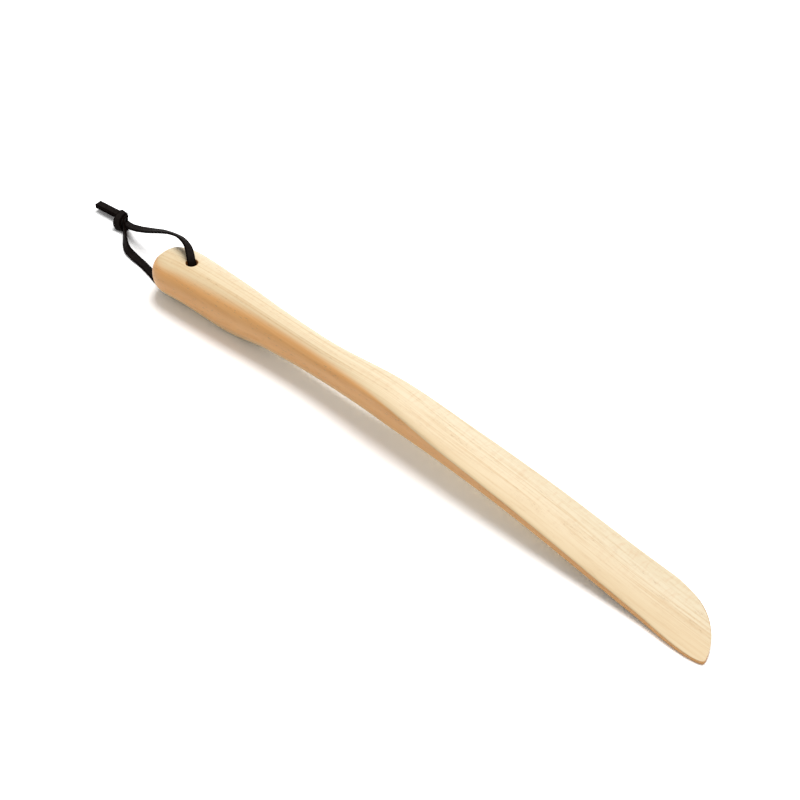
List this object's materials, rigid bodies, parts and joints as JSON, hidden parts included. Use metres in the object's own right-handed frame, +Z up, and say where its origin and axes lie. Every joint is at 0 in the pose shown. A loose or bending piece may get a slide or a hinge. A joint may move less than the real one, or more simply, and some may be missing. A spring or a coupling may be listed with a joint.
{
  "type": "long-handled shoe horn",
  "caption": "Long one-piece wooden shoe horn: thick rounded handle, slim neck, hollow blade with a slanted round tip, and a knotted leather hanging lace through the handle.",
  "frame": {"origin": "on the surface the part lies on, below the middle of the wooden body's bounding box", "axes": "+X runs from the butt end of the handle to the tip of the blade, +Z is up with the blade hollow side down"},
  "size_m": [0.5517, 0.0476, 0.0393],
  "materials": {
    "beech": "pale beech, sanded smooth and oiled to a soft satin",
    "leather": "near-black dyed lace, matte, with worn brown edges"
  },
  "bodies": {
    "horn": {"horn_body": "beech"},
    "lace": {"lace_upper_strand": "leather", "lace_lower_strand": "leather", "lace_knot": "leather", "lace_tail_upper": "leather", "lace_tail_lower": "leather"}
  },
  "joints": [
    {"name": "lace_swing", "type": "hinge", "parent": "horn", "child": "lace", "pos_m": [-0.2, 0.00113, 0], "axis": [0, 0, 1], "range_deg": [-60, 60]}
  ]
}
